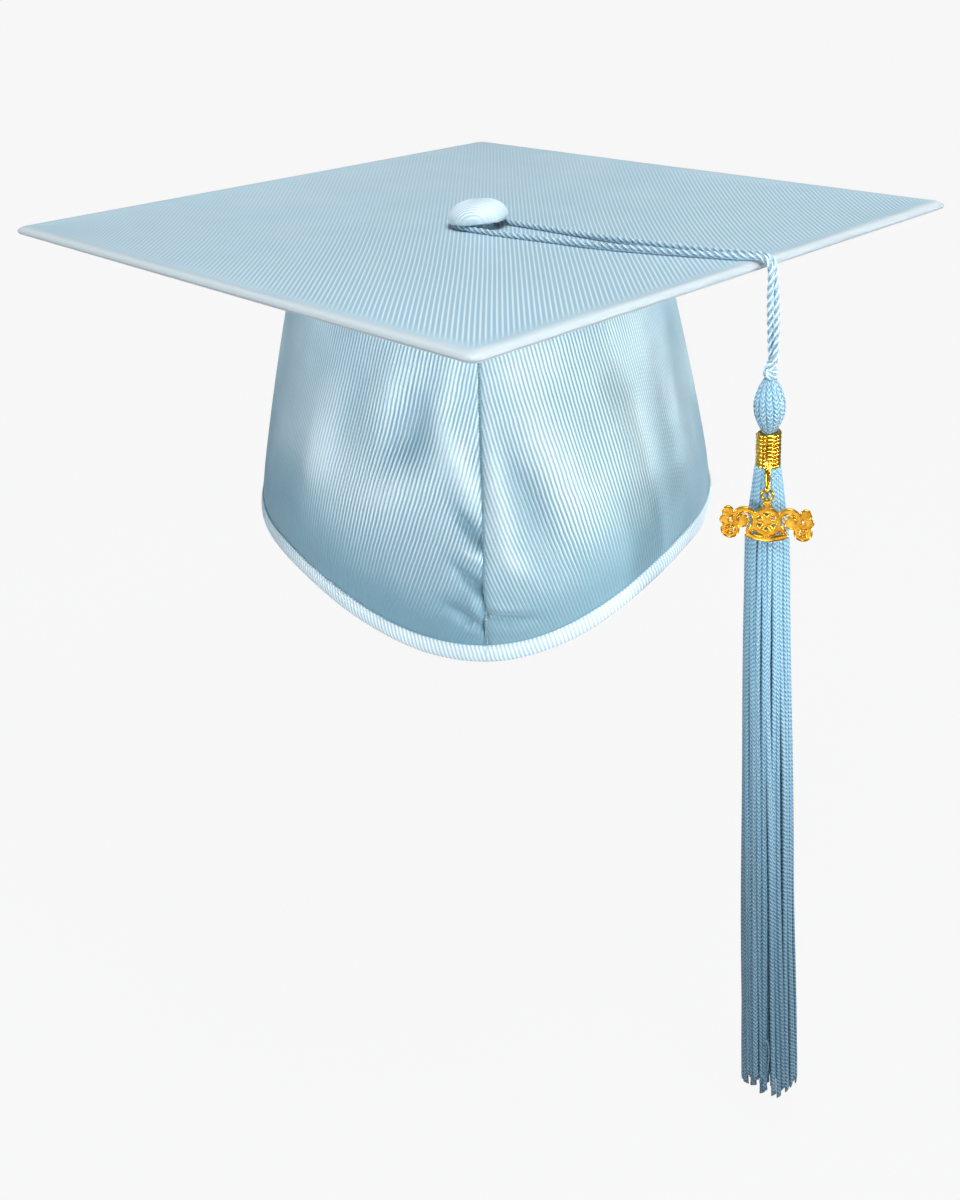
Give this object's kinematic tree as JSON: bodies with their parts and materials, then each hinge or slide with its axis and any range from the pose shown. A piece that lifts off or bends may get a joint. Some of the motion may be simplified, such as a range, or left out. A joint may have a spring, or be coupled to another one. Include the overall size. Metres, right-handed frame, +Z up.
{
  "type": "graduation cap",
  "caption": "Light blue graduation cap: a square cloth-covered board on a soft skull cap, with a covered button and a cord tassel that carries a gold openwork charm.",
  "frame": {"origin": "centre of the head opening, level with the hem at the ears", "axes": "+Z up through the middle of the board, -Y the way the wearer looks, with one corner of the board pointing that way, +X to the wearer's left"},
  "size_m": [0.338, 0.338, 0.3123],
  "materials": {
    "card": "plain greyboard",
    "cloth": "ribbed satin-faced polyester, light blue",
    "cloth_light": "the same cloth, in the light",
    "cloth_edge": "the same cloth, folded and padded",
    "elastic": "woven elastic",
    "cord": "twisted rayon cord, light blue",
    "tassel": "rayon chainette, light blue",
    "steel": "zinc plated",
    "gold": "gold plated, polished"
  },
  "bodies": {
    "cap": {"board_core": "card", "board_cover_top": "cloth", "board_cover_bottom": "cloth_edge", "button_shell": "steel", "button_cover": "cloth_light", "button_back_plate": "steel", "button_collar": "cloth_light", "button_rivet": "steel", "button_washer": "steel", "crown_panel_left": "cloth", "crown_panel_right": "cloth_light", "front_seam": "cloth_light", "back_seam": "cloth", "crown_flange": "cloth", "crown_tip": "cloth", "lining_left": "cloth_edge", "lining_right": "cloth_edge", "sweatband": "cloth_edge", "elastic_band": "elastic", "hem_binding": "cloth_edge"},
    "cord": {"cord_loop": "cord"},
    "drop": {"cord_drop": "cord"},
    "knot": {"tassel_knot": "cord"},
    "tassel": {"tassel_head": "tassel", "tassel_band": "gold", "charm_hanger": "gold", "tassel_skirt": "tassel"},
    "charm": {"charm_ring": "gold", "charm": "gold"}
  },
  "joints": [
    {"name": "tassel_turn", "type": "hinge", "parent": "cap", "child": "cord", "pos_m": [0, 0, 0.1028], "axis": [0, 0, 1], "range_deg": [-10, 6]},
    {"name": "cord_swing", "type": "hinge", "parent": "cord", "child": "drop", "pos_m": [0.09091, -0.08477, 0.101], "axis": [-0.7071, -0.7071, 0], "range_deg": [-11, 110]},
    {"name": "tassel_sway", "type": "hinge", "parent": "drop", "child": "knot", "pos_m": [0.09091, -0.08477, 0.0713], "axis": [0.7071, -0.7071, 0], "range_deg": [-75, 75]},
    {"name": "tassel_spin", "type": "hinge", "parent": "knot", "child": "tassel", "pos_m": [0.09091, -0.08477, 0.0684], "axis": [0, 0, 1], "range_deg": [-180, 180]},
    {"name": "charm_swing", "type": "hinge", "parent": "tassel", "child": "charm", "pos_m": [0.08942, -0.09243, 0.0345], "axis": [-0.9816, 0.1908, 0], "range_deg": [0, 100]}
  ]
}
